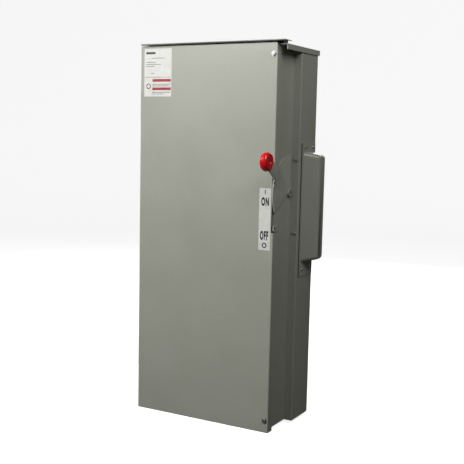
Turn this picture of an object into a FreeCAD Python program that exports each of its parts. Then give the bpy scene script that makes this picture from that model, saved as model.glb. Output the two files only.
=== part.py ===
import FreeCAD, Part
import math
import os

# Outdoor fusible safety switch, three poles, wall mounted, side operated.
# Millimetres. The origin is the centre of the four wall fixing holes, on the wall plane.
# +X is to the right of a person facing the door, -Y is towards that person, +Z is up.

V = FreeCAD.Vector
os.makedirs("parts", exist_ok=True)

# ---------------------------------------------------------------- driving dimensions
# Case
SHEET = 1.9               # wall of every folded sheet part
CASE_W = 480.0            # width over the rear section
CASE_H = 1104.0           # height over the end walls
CASE_D = 221.0            # wall plane to the front return
STEP_OUT = 25.5           # how far the rear section stands out beyond the front one, right side
STEP_D = 117.5            # wall plane to the step's face
RETURN_W = 25.0           # width of the front return
BEND_R = 3.0              # outside radius of a sharp bend
BACK_R = 8.0              # outside radius of the back corners
FIX_DX = 304.8            # wall fixing holes, across
FIX_DZ = 1009.6           # wall fixing holes, up
FIX_R = 5.6
# Door
DOOR_GAP = 1.4            # case side to the inside of the door flange
DOOR_STANDOFF = 8.6       # front return to the inside of the door
DOOR_FLANGE = 26.0
DOOR_RISE = 7.0           # door top above the case
DOOR_HANG = 10.0          # door bottom below the case
# Hinges
HINGE_OUT = 8.0           # hinge axis outboard of the case's left wall
HINGE_SET = 6.0           # hinge axis behind the door flange's rear edge
HINGE_Z = 380.0           # hinge centres above and below the origin
KNUCKLE_R = 5.0
KNUCKLE_L = 30.0
PIN_R = 2.5
RUN = 0.06                # radial clearance of a running fit
# Hood
HOOD_OUT = 3.0            # hood skirt outboard of the case's right wall
HOOD_SKIRT = 15.0
VISOR_LIFT = 10.5         # visor's underside above the case top
VISOR_NOSE = 12.0         # visor beyond the door's front face
VISOR_EDGE = 4.5          # height of the visor's drip edge, which is turned down and back
RISER_D = 196.0           # wall plane to the riser under the visor
# Handle
PIVOT_D = 131.5           # handle shaft from the wall plane
PIVOT_Z = 137.0
SHAFT_R = 6.5
LEVER_T = 3.0
LEVER_GAP = 0.8           # case side to the lever plate
SECTOR_NOSE = 8.0         # lever plate's rim in front of the door
HUB_R = 13.0
HUB_H = 4.0
ON_ANGLE = 27.5           # arm above level in the on position
TRAVEL = 62.0             # handle travel, on to off
SECTOR_LOW = -31.0        # lever plate's two edges, degrees above level, handle on
SECTOR_HIGH = 93.0
ARM_OUT = 11.0            # arm's inner face outboard of the door's edge
ARM_ROOT_W = 42.0
ARM_TIP_W = 26.0
JOGGLE_RUN = 22.0         # length over which the arm steps outboard
KNOB_AT = 199.0           # knob centre from the handle shaft
KNOB_R = 27.0
KNOB_T = 24.0
NOTCH_IN = 7.0            # notch in the door's front face, from its edge
NOTCH_UP = 83.0           # notch above the handle shaft
NOTCH_DOWN = 112.0        # notch below the handle shaft
# Switch
POLE_PITCH = 105.0
POLE_X = -20.0            # middle pole
ROTOR_D = 95.0            # rotor axis from the wall plane
ROTOR_Z = 60.0
ROTOR_R = 15.0
STUB_R = 8.0
CRANK_R = 28.0            # crank radius, lever and rotor alike
CRANK_PIN_R = 4.0
CRANK_LEAD = 4.0          # cranks set back from square to the link at mid travel
BLADE_REACH = 78.0
BLADE_W = 20.0
BLADE_T = 5.0
CONTACT_GAP = 0.4         # blade to jaw, each side
JAW_T = 3.0
BUS_T = 4.0
FUSE_R = 30.0
FUSE_BODY = 143.0
FUSE_LEG = 38.0
FUSE_LEG_W = 24.0
# Side cover
COVER_Y0 = -101.5         # side cover's flange
COVER_Y1 = -9.0
COVER_Z0 = -116.0
COVER_Z1 = 281.0
BUMP_Y0 = -94.0           # side cover's bulge where it leaves the flange
BUMP_Y1 = -14.0
BUMP_Z0 = -74.0
BUMP_Z1 = 255.0
BUMP_OUT = 43.0
BUMP_R = 13.0
DRAFT_FRONT = 30.0        # how far each wall of the bulge leans in by its outer face
DRAFT_BACK = 6.0
DRAFT_END = 10.0
# Knock-outs in the bottom end wall: centre across, centre from the wall plane, radius
KNOCKOUTS = [(-130.0, -110.0, 45.0), (20.0, -110.0, 45.0), (140.0, -110.0, 31.0), (140.0, -30.0, 11.0)]
# Hub plate on the hood
HUB_HOLE_R = 38.0
HUB_HOLE_D = 100.0        # hub opening from the wall plane
HUB_HALF = 56.0
HUB_BOLT = 45.0
# Door screws
SCREW_IN = 12.0           # in from the door's right edge
SCREW_TOP = 33.0          # top screw below the door's top edge
SCREW_BOTTOM = 37.0       # bottom screw above the door's bottom edge
DOOR_SCREW_R = 3.0
PADLOCK_R = 4.2
# Interlock
CATCH_IN = 40.5           # catch on the door, inboard of the front section's side
CATCH_W = 13.0
LOCK_D = 160.0            # lever's pivot from the wall plane
LOCK_Z = 200.0
LOCK_IN = 31.9            # lever's inner face, inboard of the front section's side
LOCK_T = 3.4
LOCK_LIFT = 12.0          # lever raised clear of the catch, degrees
LOCK_PIN_R = 4.0
# Mechanism frame, link and spring
FRAME_IN = 19.5           # frame's inner plate, inboard of the front section's side
FRAME_OUT_IN = 12.0       # frame's outer plate, inboard of the rear section's side
FRAME_T = 3.0
LINK_T = 4.0
LINK_HALF = 6.5
DRIVE_T = 3.0
SPRING_OUT = 3.0          # toggle spring's axis, outboard of the rear section's side
SPRING_Y = -40.0          # its fixed end
SPRING_Z = 195.0
SPRING_R = 9.0
SPRING_WIRE = 1.5
SPRING_TURNS = 15
# Mounting pan, bases, lugs and terminal bars
PAN_X0 = -196.0
PAN_X1 = 172.0
PAN_Y = -14.0             # front face of the mounting pan
PAN_T = 2.5
BUS_Y = -80.0             # front face of the insulating bases
LUG_HALF = 19.0
LUG_DEEP = 34.0
CABLE_R = 12.0
NEUTRAL_Z = (-260.0, -110.0)
GROUND_UP = 52.0          # ground bar above the case's bottom
GROUND_L = 100.0

# ---------------------------------------------------------------- places worked out
X_R = CASE_W / 2
X_L = -CASE_W / 2
X_F = X_R - STEP_OUT
Z_T = CASE_H / 2
Z_B = -CASE_H / 2
Y_F = -CASE_D
Y_STEP = -STEP_D
DOOR_IN_Y = Y_F - DOOR_STANDOFF
DOOR_Y = DOOR_IN_Y - SHEET
DOOR_L = X_L - DOOR_GAP - SHEET
DOOR_R = X_F + DOOR_GAP + SHEET
DOOR_T = Z_T + DOOR_RISE
DOOR_B = Z_B - DOOR_HANG
DOOR_BACK = DOOR_Y + DOOR_FLANGE
HINGE_X = X_L - HINGE_OUT
HINGE_Y = DOOR_BACK + HINGE_SET
PIVOT_Y = -PIVOT_D
LEVER_X = X_F + LEVER_GAP
SECTOR_R = PIVOT_Y - DOOR_Y + SECTOR_NOSE
ARM_X = DOOR_R + ARM_OUT
ROTOR_Y = -ROTOR_D
POLES = [POLE_X - POLE_PITCH, POLE_X, POLE_X + POLE_PITCH]
LINK_ANGLE = math.degrees(math.atan2(ROTOR_Z - PIVOT_Z, ROTOR_Y - PIVOT_Y))
CRANK_ANGLE = LINK_ANGLE + 90 - TRAVEL / 2 - CRANK_LEAD
NOTCH_T = PIVOT_Z + NOTCH_UP
NOTCH_B = PIVOT_Z - NOTCH_DOWN
CATCH_X0 = X_F - CATCH_IN
CATCH_X1 = CATCH_X0 + CATCH_W
LOCK_X = X_F - LOCK_IN
FRAME_X = X_F - FRAME_IN
FRAME_OUT_X = X_R - FRAME_OUT_IN
SPRING_X = X_R + SPRING_OUT
GROUND_Z = (Z_B + GROUND_UP, Z_B + GROUND_UP + GROUND_L)
LEDGE_RIVETS = [(x, z) for x in (X_F + 10.5, X_F + 19.0) for z in (230.0, 15.0)]
DRIVE_X = X_F - SHEET - 1.1 - DRIVE_T
LINK_X = DRIVE_X - 0.8 - LINK_T
CRANK_X = LINK_X + LINK_T + 0.9
ROTOR_X0 = POLES[0] - 40
ROTOR_X1 = FRAME_X - 28
BEARING_X = ROTOR_X0 - 12
LINE_BASE_Z = (ROTOR_Z + 88, ROTOR_Z + 172)
LOAD_BASE_Z = (ROTOR_Z - 170, ROTOR_Z - 88)
FUSE_TOP = ROTOR_Z - 175
FUSE_END = FUSE_TOP - FUSE_BODY
FOOT_BASE_Z = (FUSE_END - 94, FUSE_END - 4)
FUSE_Y = BUS_Y - FUSE_R - 2
BASE_X0 = POLES[0] - 50
BASE_X1 = POLES[2] + 50
PAN_Z0 = FOOT_BASE_Z[0] - 14
PAN_Z1 = LINE_BASE_Z[1] + 14
PAN_BOLTS = [(x, z) for x in (PAN_X0 + 9, PAN_X1 - 12) for z in (PAN_Z0 + 12, -60, PAN_Z1 - 12)]
LINE_LUG_Z = (LINE_BASE_Z[1] - 46, LINE_BASE_Z[1] - 4)
LOAD_LUG_Z = (FOOT_BASE_Z[0] + 4, FOOT_BASE_Z[0] + 46)
NEUTRAL_X = (X_L + 14, X_L + 40)


# ---------------------------------------------------------------- small tools
def box(x0, x1, y0, y1, z0, z1):
    return Part.makeBox(x1 - x0, y1 - y0, z1 - z0, V(x0, y0, z0))


def place(axis, along, u, v):
    """A point from its distance along an axis and its two other coordinates, in X, Y, Z order."""
    if axis == "x":
        return V(along, u, v)
    if axis == "y":
        return V(u, along, v)
    return V(u, v, along)


def rod(axis, a0, a1, u, v, r):
    return Part.makeCylinder(r, a1 - a0, place(axis, a0, u, v), place(axis, 1, 0, 0))


def prism(axis, points, a0, a1):
    corners = [place(axis, a0, u, v) for u, v in points]
    face = Part.Face(Part.makePolygon(corners + [corners[0]]))
    return face.extrude(place(axis, a1 - a0, 0, 0))


def fuse(shapes):
    whole = shapes[0].multiFuse(shapes[1:]) if len(shapes) > 1 else shapes[0]
    return whole.removeSplitter()


def round_edges(shape, radius, wanted):
    edges = [e for e in shape.Edges if wanted(e)]
    return shape.makeFillet(radius, edges)


def along(edge, axis):
    """True for a straight edge that runs along the axis."""
    d = edge.tangentAt(edge.FirstParameter)
    straight = edge.Curve.TypeId == "Part::GeomLine"
    return straight and abs({"x": d.x, "y": d.y, "z": d.z}[axis]) > 0.999


def middle(edge):
    return edge.CenterOfMass


def polar(radius, degrees):
    """A point in the lever's plane: degrees above level, measured at the shaft towards the front."""
    a = math.radians(degrees)
    return (PIVOT_Y - radius * math.cos(a), PIVOT_Z + radius * math.sin(a))


def screw(axis, at, u, v, r, length, head_r, head_h, way=1):
    """Slotted pan head screw whose head stands on the plane at `at`; `way` is the head's side."""
    head = Part.makeCylinder(head_r, head_h)
    head = round_edges(head, 0.35 * head_h, lambda e: middle(e).z > head_h - 0.01)
    body = fuse([head, Part.makeCylinder(r, length, V(0, 0, -length))])
    slot = 0.14 * head_r
    body = body.cut(box(-head_r, head_r, -slot, slot, head_h / 2, head_h))
    turn = FreeCAD.Rotation(V(0, 0, 1), place(axis, way, 0, 0))
    body.Placement = FreeCAD.Placement(place(axis, at, u, v), turn)
    return body


def save(name, shapes):
    """Write one node: one solid, or several separate ones as a compound."""
    solids = []
    for shape in shapes if isinstance(shapes, list) else [shapes]:
        solids += shape.Solids
    for solid in solids:
        if not solid.isValid() or solid.Volume <= 0:
            raise ValueError(name + " is not a sound solid")
    whole = solids[0] if len(solids) == 1 else Part.makeCompound(solids)
    whole.exportStep("parts/" + name + ".step")


# ---------------------------------------------------------------- case
def case_outline(inset):
    """Plan of the case, step included, moved in by `inset`."""
    return [(X_L + inset, Y_F + inset), (X_F - inset, Y_F + inset), (X_F - inset, Y_STEP + inset),
            (X_R - inset, Y_STEP + inset), (X_R - inset, -inset), (X_L + inset, -inset)]


def case_prism(inset, z0, z1):
    """The case's plan as a solid, with its bends rounded."""
    block = prism("z", case_outline(inset), z0, z1)
    at_back = lambda e: along(e, "z") and middle(e).y > -inset - 0.1
    in_front = lambda e: along(e, "z") and middle(e).y < Y_STEP + inset + 0.1
    convex = lambda e: in_front(e) and not (middle(e).y > Y_STEP - 1 and middle(e).x < X_F + 1)
    block = round_edges(block, BACK_R - inset, at_back)
    return round_edges(block, BEND_R - inset, convex)


def fixing_holes():
    return [rod("y", -SHEET - 2, 1, i * FIX_DX / 2, k * FIX_DZ / 2, FIX_R) for i in (-1, 1) for k in (-1, 1)]


def enclosure_body():
    """Wrap of back, sides and front returns, open at the top, the bottom and the front."""
    shell = case_prism(0, Z_B, Z_T).cut(case_prism(SHEET, Z_B - 1, Z_T + 1))
    opening = box(X_L + RETURN_W, X_F - RETURN_W, Y_F - 1, Y_F + SHEET + 1, Z_B - 1, Z_T + 1)
    window = box(X_R - SHEET - 1, X_R + 1, BUMP_Y0 + 4, BUMP_Y1 - 4, BUMP_Z0 + 4, BUMP_Z1 - 4)
    shaft = rod("x", X_F - SHEET - 1, X_F + 1, PIVOT_Y, PIVOT_Z, SHAFT_R + RUN)
    relief = box(X_F - 12, X_F + 1, Y_F - 1, DOOR_Y + 17, NOTCH_B + 5, NOTCH_B + 19)
    rivets = [rod("y", Y_STEP - 1, Y_STEP + SHEET + 1, x, z, 2.4) for x, z in LEDGE_RIVETS]
    cover = [rod("x", X_R - SHEET - 1, X_R + 1, y, z, 2.4) for y, z in cover_screw_places()]
    return shell.cut([opening, window, shaft, relief] + rivets + cover + fixing_holes() + door_screw_holes())


def endwall(top):
    """End wall plate with its front lip, inside the wrap."""
    z0, z1 = (Z_T - SHEET, Z_T) if top else (Z_B, Z_B + SHEET)
    plate = case_prism(SHEET, z0, z1)
    lip_z = (z1 - RETURN_W, z1) if top else (z0, z0 + RETURN_W)
    lip = box(X_L + BEND_R, X_F - BEND_R, Y_F + SHEET, Y_F + 2 * SHEET, lip_z[0], lip_z[1])
    return fuse([plate.cut(lip), lip]).cut(door_screw_holes())


def top_endwall():
    hub = rod("z", Z_T - SHEET - 1, Z_T + 1, 0, -HUB_HOLE_D, HUB_HOLE_R)
    return endwall(True).cut(hub)


def bottom_endwall():
    holes = [rod("z", Z_B - 1, Z_B + SHEET + 1, x, y, r) for x, y, r in KNOCKOUTS]
    drains = [rod("z", Z_B - 1, Z_B + SHEET + 1, x, -195, 3.2) for x in (-200, 185)]
    return endwall(False).cut(holes + drains)


def knockout_slugs():
    """Closed knock-outs: each disc hangs on two small tabs left in the plate."""
    slugs = []
    for x, y, r in KNOCKOUTS:
        hole = rod("z", Z_B, Z_B + SHEET, x, y, r)
        disc = rod("z", Z_B, Z_B + SHEET, x, y, r - 0.5)
        tabs = box(x - r, x + r, y - 2, y + 2, Z_B, Z_B + SHEET).common(hole)
        slugs.append(fuse([disc, tabs]))
    return slugs


def hub_bolts():
    return [(i * HUB_BOLT, -HUB_HOLE_D + k * HUB_BOLT) for i in (-1, 1) for k in (-1, 1)]


def rain_hood():
    """Flat roof with side skirts, then a riser and a visor over the door's top edge."""
    x0 = X_L - SHEET - 0.2
    x1 = X_R + HOOD_OUT
    z_roof = Z_T + SHEET
    z_visor = Z_T + VISOR_LIFT
    visor_x0 = X_L + 5
    nose = DOOR_Y - VISOR_NOSE
    skirt_z = z_roof - HOOD_SKIRT
    upstand = x1 - 12
    z_hem = z_visor + SHEET - VISOR_EDGE
    inner = nose + VISOR_EDGE
    hem = [(nose, z_visor), (inner, z_hem), (inner + SHEET, z_hem), (nose + 3, z_visor)]
    pieces = [
        box(x0, x1, -RISER_D - SHEET, 0, Z_T, z_roof),
        box(visor_x0, X_F, Y_F, -RISER_D, Z_T, z_roof),
        box(DOOR_R + 1.5, x1, Y_F, -RISER_D, Z_T, z_roof),
        box(x0, x0 + SHEET, -RISER_D, 0, skirt_z, z_roof),
        box(x1 - SHEET, x1, Y_F, 0, skirt_z, z_roof),
        box(visor_x0, upstand, -RISER_D - SHEET, -RISER_D, z_roof, z_visor),
        box(upstand - SHEET, upstand, Y_F, -RISER_D, z_roof, z_visor),
        box(visor_x0, x1, nose, -RISER_D, z_visor, z_visor + SHEET),
        prism("x", hem, visor_x0, x1),
    ]
    hood = fuse(pieces)
    hub = rod("z", Z_T - 1, z_roof + 1, 0, -HUB_HOLE_D, HUB_HOLE_R)
    bolts = [rod("z", Z_T - 1, z_roof + 1, x, y, 2.4) for x, y in hub_bolts()]
    return hood.cut([hub] + bolts)


def hub_plate():
    z0 = Z_T + SHEET
    plate = box(-HUB_HALF, HUB_HALF, -HUB_HOLE_D - HUB_HALF, -HUB_HOLE_D + HUB_HALF, z0, z0 + 2.5)
    plate = round_edges(plate, 8, lambda e: along(e, "z"))
    bolts = [rod("z", z0 - 1, z0 + 4, x, y, 2.4) for x, y in hub_bolts()]
    return plate.cut(bolts)


def hub_plate_screws():
    return [screw("z", Z_T + SHEET + 2.5, x, y, 2.4, SHEET + 2.5, 4.8, 2.6) for x, y in hub_bolts()]


def cover_screw_places():
    rows = ((COVER_Z0 + BUMP_Z0) / 2, (COVER_Z1 + BUMP_Z1) / 2)
    return [(y, z) for y in (BUMP_Y0 + 14, BUMP_Y1 - 14) for z in rows]


def bulge(inset):
    """Leaning block for the drawn part of the cover, moved in by `inset`, outer edges rounded."""
    x0, x1 = X_R - 1, X_R + BUMP_OUT - inset
    y0, y1 = BUMP_Y0 + inset, BUMP_Y1 - inset
    z0, z1 = BUMP_Z0 + inset, BUMP_Z1 - inset
    plan = prism("z", [(x0, y0), (x1, y0 + DRAFT_FRONT), (x1, y1 - DRAFT_BACK), (x0, y1)], z0, z1)
    front = prism("y", [(x0, z0), (x1, z0 + DRAFT_END), (x1, z1 - DRAFT_END), (x0, z1)], y0, y1)
    return round_edges(plan.common(front), BUMP_R - inset, lambda e: middle(e).x > x0 + 0.1)


def side_cover():
    """Drawn steel cover: a flat flange and a deep rounded bulge over the mechanism."""
    flange = box(X_R, X_R + SHEET, COVER_Y0, COVER_Y1, COVER_Z0, COVER_Z1)
    flange = round_edges(flange, 4, lambda e: along(e, "x"))
    outside = box(X_R, X_R + BUMP_OUT + 1, COVER_Y0, COVER_Y1, COVER_Z0, COVER_Z1)
    outer = bulge(0).common(outside)
    holes = [rod("x", X_R - 1, X_R + SHEET + 1, y, z, 2.4) for y, z in cover_screw_places()]
    return fuse([flange, outer]).cut([bulge(SHEET)] + holes)


def side_cover_screws():
    return [screw("x", X_R + SHEET, y, z, 2.4, 2 * SHEET, 4.8, 2.8) for y, z in cover_screw_places()]


def ledge_rivets():
    return [screw("y", Y_STEP, x, z, 2.4, SHEET, 4.2, 1.8, way=-1) for x, z in LEDGE_RIVETS]


def padlock_ear():
    """Ear on the case's side that stands forward in the door's notch, below the lever."""
    z0, z1 = NOTCH_B + 3, NOTCH_B + 21
    ear = box(X_F, X_F + 2.5, DOOR_Y + 3, DOOR_Y + 36, z0, z1)
    ear = round_edges(ear, 5, lambda e: along(e, "x"))
    return ear.cut(rod("x", X_F - 1, X_F + 4, DOOR_Y + 11, (z0 + z1) / 2, 4.2))


# ---------------------------------------------------------------- hinges and door
def knuckle_spans(z):
    """The three knuckles of one hinge, lowest first, with a hair of play between them."""
    start = z - 1.5 * KNUCKLE_L
    return [(start + i * KNUCKLE_L + 0.2, start + (i + 1) * KNUCKLE_L - 0.2) for i in range(3)]


def hinge_leaves():
    leaves = []
    for z in (-HINGE_Z, HINGE_Z):
        low, mid, high = knuckle_spans(z)
        parts = [box(X_L - 2, X_L, HINGE_Y + 7, HINGE_Y + 50, low[0], high[1])]
        for z0, z1 in (low, high):
            parts.append(rod("z", z0, z1, HINGE_X, HINGE_Y, KNUCKLE_R))
            parts.append(box(HINGE_X, X_L, HINGE_Y + 1, HINGE_Y + 8, z0, z1))
        bore = rod("z", low[0] - 1, high[1] + 1, HINGE_X, HINGE_Y, PIN_R)
        leaves.append(fuse(parts).cut(bore))
    return leaves


def hinge_pins():
    pins = []
    for z in (-HINGE_Z, HINGE_Z):
        low, mid, high = knuckle_spans(z)
        shank = rod("z", low[0], high[1], HINGE_X, HINGE_Y, PIN_R)
        head = rod("z", high[1], high[1] + 3, HINGE_X, HINGE_Y, PIN_R + 1.5)
        pins.append(fuse([shank, head]))
    return pins


def door_hinge_leaves():
    leaves = []
    for z in (-HINGE_Z, HINGE_Z):
        low, mid, high = knuckle_spans(z)
        plate = box(DOOR_L - 2, DOOR_L, DOOR_Y + 4, DOOR_BACK - 0.5, low[0], high[1])
        barrel = rod("z", mid[0], mid[1], HINGE_X, HINGE_Y, KNUCKLE_R)
        neck = box(HINGE_X - 2.5, DOOR_L - 1, DOOR_BACK - 6, HINGE_Y, mid[0], mid[1])
        neck = neck.cut(box(DOOR_L, DOOR_L + 9, DOOR_Y, HINGE_Y, mid[0], mid[1]))
        bore = rod("z", mid[0] - 1, mid[1] + 1, HINGE_X, HINGE_Y, PIN_R + RUN)
        leaves.append(fuse([plate, neck, barrel]).cut(bore))
    return leaves


def door_screw_places():
    x = DOOR_R - SCREW_IN
    return {"door_screw_top": (x, DOOR_T - SCREW_TOP), "door_screw_bottom": (x, DOOR_B + SCREW_BOTTOM)}


def door_screw_holes():
    """Clearance in the front return and the end walls' lips."""
    return [rod("y", Y_F - 1, Y_F + 8, x, z, DOOR_SCREW_R + 0.6) for x, z in door_screw_places().values()]


def door():
    """Folded pan with a flange on all four sides and a notch at the handle."""
    outer = box(DOOR_L, DOOR_R, DOOR_Y, DOOR_BACK, DOOR_B, DOOR_T)
    outer = round_edges(outer, BEND_R, lambda e: middle(e).y < DOOR_BACK - 1)
    inner = box(DOOR_L + SHEET, DOOR_R - SHEET, DOOR_IN_Y, DOOR_BACK + 1, DOOR_B + SHEET, DOOR_T - SHEET)
    inner = round_edges(inner, BEND_R - SHEET, lambda e: middle(e).y < DOOR_BACK)
    notch = box(DOOR_R - NOTCH_IN, DOOR_R + 1, DOOR_Y - 1, DOOR_BACK + 1, NOTCH_B, NOTCH_T)
    screws = door_screw_places().values()
    holes = [rod("y", DOOR_Y - 1, DOOR_IN_Y + 1, x, z, DOOR_SCREW_R + RUN) for x, z in screws]
    return outer.cut(inner).cut([notch] + holes)


def door_screw(name):
    """Captive screw with a washer face, which enters the case's front return."""
    x, z = door_screw_places()[name]
    length = Y_F + SHEET + 4 - DOOR_Y
    body = screw("y", DOOR_Y - 1.2, x, z, DOOR_SCREW_R, length + 1.2, 6.0, 3.6, way=-1)
    washer = rod("y", DOOR_Y - 1.2, DOOR_Y, x, z, 8.0)
    return fuse([body, washer])


def door_catch():
    """Bracket welded inside the door, with a window for the interlock lever's nose."""
    base = box(CATCH_X0, CATCH_X1, DOOR_IN_Y, DOOR_IN_Y + 2, LOCK_Z - 45, LOCK_Z - 17)
    shelf = box(CATCH_X0, CATCH_X1, DOOR_IN_Y, -LOCK_D - 36, LOCK_Z - 19, LOCK_Z - 17)
    window = box(LOCK_X - 1.2, CATCH_X1 - 1, -LOCK_D - 55, -LOCK_D - 41, LOCK_Z - 20, LOCK_Z - 16)
    return fuse([base, shelf]).cut(window)


def plate_on_door(x0, x1, z0, z1, thick, corner):
    plate = box(x0, x1, DOOR_Y - thick, DOOR_Y, z0, z1)
    return round_edges(plate, corner, lambda e: along(e, "y"))


def nameplate():
    return plate_on_door(DOOR_L + 13, DOOR_L + 111, DOOR_T - 150, DOOR_T - 8, 0.4, 1.5)


def on_off_label():
    right = DOOR_R - 9
    return plate_on_door(right - 37, right, PIVOT_Z - 162.5, PIVOT_Z + 14.5, 0.4, 1.5)


# ---------------------------------------------------------------- handle and linkage
def around_shaft(shape, degrees):
    """Turn about the lever shaft; positive lifts the arm."""
    return shape.rotated(V(0, PIVOT_Y, PIVOT_Z), V(1, 0, 0), -degrees)


def crank_pin_place(centre_y, centre_z):
    a = math.radians(CRANK_ANGLE)
    return (centre_y + CRANK_R * math.cos(a), centre_z + CRANK_R * math.sin(a))


def arm_planform():
    """Outline of the arm, level, in the lever's plane: straight root, tapered to the knob."""
    inner = SECTOR_R * 0.6
    root = SECTOR_R + JOGGLE_RUN
    tip = KNOB_AT + KNOB_R - 6
    half, end = ARM_ROOT_W / 2, ARM_TIP_W / 2
    reach = [(inner, -half), (root, -half), (tip, -end), (tip, end), (root, half), (inner, half)]
    return [(PIVOT_Y - r, PIVOT_Z + t) for r, t in reach]


def lever_arm():
    """The arm's sheet seen from above: in the plate's plane, out past the door's edge, then on."""
    x0, x1 = LEVER_X, ARM_X
    inner = SECTOR_R * 0.6
    bend = SECTOR_R - 6
    out = bend + JOGGLE_RUN
    tip = KNOB_AT + KNOB_R
    slope = LEVER_T * 0.2
    line = [(inner, x0), (bend + slope, x0), (out + slope, x1), (tip, x1), (tip, x1 + LEVER_T),
            (out - slope, x1 + LEVER_T), (bend - slope, x0 + LEVER_T), (inner, x0 + LEVER_T)]
    ribbon = prism("z", [(x, PIVOT_Y - r) for r, x in line], PIVOT_Z - ARM_ROOT_W, PIVOT_Z + ARM_ROOT_W)
    plan = prism("x", arm_planform(), x0 - 1, x1 + LEVER_T + 1)
    return around_shaft(ribbon.common(plan), ON_ANGLE)


def lever():
    """Plate on the outside of the case, with the joggled arm that carries the knob."""
    x0, x1 = LEVER_X, LEVER_X + LEVER_T
    rim = [V(x0, *polar(SECTOR_R, a)) for a in (SECTOR_LOW, (SECTOR_LOW + SECTOR_HIGH) / 2, SECTOR_HIGH)]
    centre = V(x0, PIVOT_Y, PIVOT_Z)
    sides = [Part.makeLine(rim[2], centre), Part.makeLine(centre, rim[0])]
    plate = Part.Face(Part.Wire([Part.Arc(*rim).toShape()] + sides)).extrude(V(LEVER_T, 0, 0))
    hub = rod("x", x0, x1 + HUB_H, PIVOT_Y, PIVOT_Z, HUB_R)
    hub = round_edges(hub, 2, lambda e: middle(e).x > x1 + HUB_H - 0.01)
    bore = rod("x", x0 - 1, x1 + HUB_H + 1, PIVOT_Y, PIVOT_Z, SHAFT_R)
    slot = rod("x", x0 - 1, ARM_X + 5, PIVOT_Y - SECTOR_R - 7, PIVOT_Z + 13, PADLOCK_R)
    slot = around_shaft(slot, ON_ANGLE)
    return fuse([plate, hub, lever_arm()]).cut([bore, slot])


def knob():
    """Thick round grip with well rounded edges, moulded over the arm's end."""
    x = ARM_X + LEVER_T / 2
    body = rod("x", x - KNOB_T / 2, x + KNOB_T / 2, PIVOT_Y - KNOB_AT, PIVOT_Z, KNOB_R)
    body = round_edges(body, KNOB_T * 0.4, lambda e: abs(middle(e).x - x) > KNOB_T / 2 - 0.01)
    return around_shaft(body, ON_ANGLE).cut(lever_arm())


def handle_shaft():
    """Shaft through the case's side, with a retaining collar inside the frame."""
    shank = rod("x", FRAME_X - 3.3, LEVER_X + LEVER_T + HUB_H, PIVOT_Y, PIVOT_Z, SHAFT_R)
    collar = rod("x", FRAME_X - 3.3, FRAME_X - 0.3, PIVOT_Y, PIVOT_Z, SHAFT_R + 4)
    tip = LEVER_X + LEVER_T + HUB_H
    socket = rod("x", tip - 2.5, tip + 1, PIVOT_Y, PIVOT_Z, 2.2)
    return fuse([shank, collar]).cut(socket)


def drive_crank():
    """Crank pressed on the shaft just inside the case's side."""
    pin_y, pin_z = crank_pin_place(PIVOT_Y, PIVOT_Z)
    x0, x1 = DRIVE_X, DRIVE_X + DRIVE_T
    bar = link_plate(PIVOT_Y, PIVOT_Z, pin_y, pin_z, 8, x0, x1)
    hub = rod("x", x0, x1, PIVOT_Y, PIVOT_Z, SHAFT_R + 5)
    bore = rod("x", x0 - 1, x1 + 1, PIVOT_Y, PIVOT_Z, SHAFT_R)
    pin = rod("x", x0 - 1, x1 + 1, pin_y, pin_z, CRANK_PIN_R)
    return fuse([bar, hub]).cut([bore, pin])


def crank_pin():
    y, z = crank_pin_place(PIVOT_Y, PIVOT_Z)
    shank = rod("x", LINK_X - 0.3, DRIVE_X + DRIVE_T, y, z, CRANK_PIN_R)
    head = rod("x", LINK_X - 2.3, LINK_X - 0.3, y, z, CRANK_PIN_R + 2)
    return fuse([shank, head])


def link_plate(y0, z0, y1, z1, half, x0, x1):
    """Flat bar with round ends between two centres."""
    length = math.hypot(y1 - y0, z1 - z0)
    ends = [rod("x", x0, x1, 0, 0, half), rod("x", x0, x1, length, 0, half)]
    bar = fuse([box(x0, x1, 0, length, -half, half)] + ends)
    angle = math.degrees(math.atan2(z1 - z0, y1 - y0))
    bar = bar.rotated(V(0, 0, 0), V(1, 0, 0), angle)
    return bar.translated(V(0, y0, z0))


def drive_link():
    top = crank_pin_place(PIVOT_Y, PIVOT_Z)
    low = crank_pin_place(ROTOR_Y, ROTOR_Z)
    bar = link_plate(*top, *low, LINK_HALF, LINK_X, LINK_X + LINK_T)
    holes = [rod("x", LINK_X - 1, LINK_X + LINK_T + 1, *top, CRANK_PIN_R + RUN),
             rod("x", LINK_X - 1, LINK_X + LINK_T + 1, *low, CRANK_PIN_R + 0.35)]
    return bar.cut(holes)


def rotor_crank():
    """Crank, its pin and the stub shaft that drives the rotor bar, in one forging."""
    low = crank_pin_place(ROTOR_Y, ROTOR_Z)
    arm = link_plate(ROTOR_Y, ROTOR_Z, *low, 9, CRANK_X, CRANK_X + 4)
    hub = rod("x", CRANK_X - 3, CRANK_X + 7, ROTOR_Y, ROTOR_Z, 14)
    pin = rod("x", LINK_X + 0.2, SPRING_X + SPRING_R, *low, CRANK_PIN_R)
    stub = rod("x", ROTOR_X1 - 20, FRAME_OUT_X + FRAME_T, ROTOR_Y, ROTOR_Z, STUB_R)
    return fuse([arm, hub, pin, stub])


def blade_block(x):
    return box(x - BLADE_T / 2, x + BLADE_T / 2, ROTOR_Y - BLADE_W / 2, ROTOR_Y + BLADE_W / 2,
               ROTOR_Z - BLADE_REACH, ROTOR_Z + BLADE_REACH)


def blade(x):
    """Double-ended contact blade with its corners eased."""
    return round_edges(blade_block(x), 6, lambda e: along(e, "x"))


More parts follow.
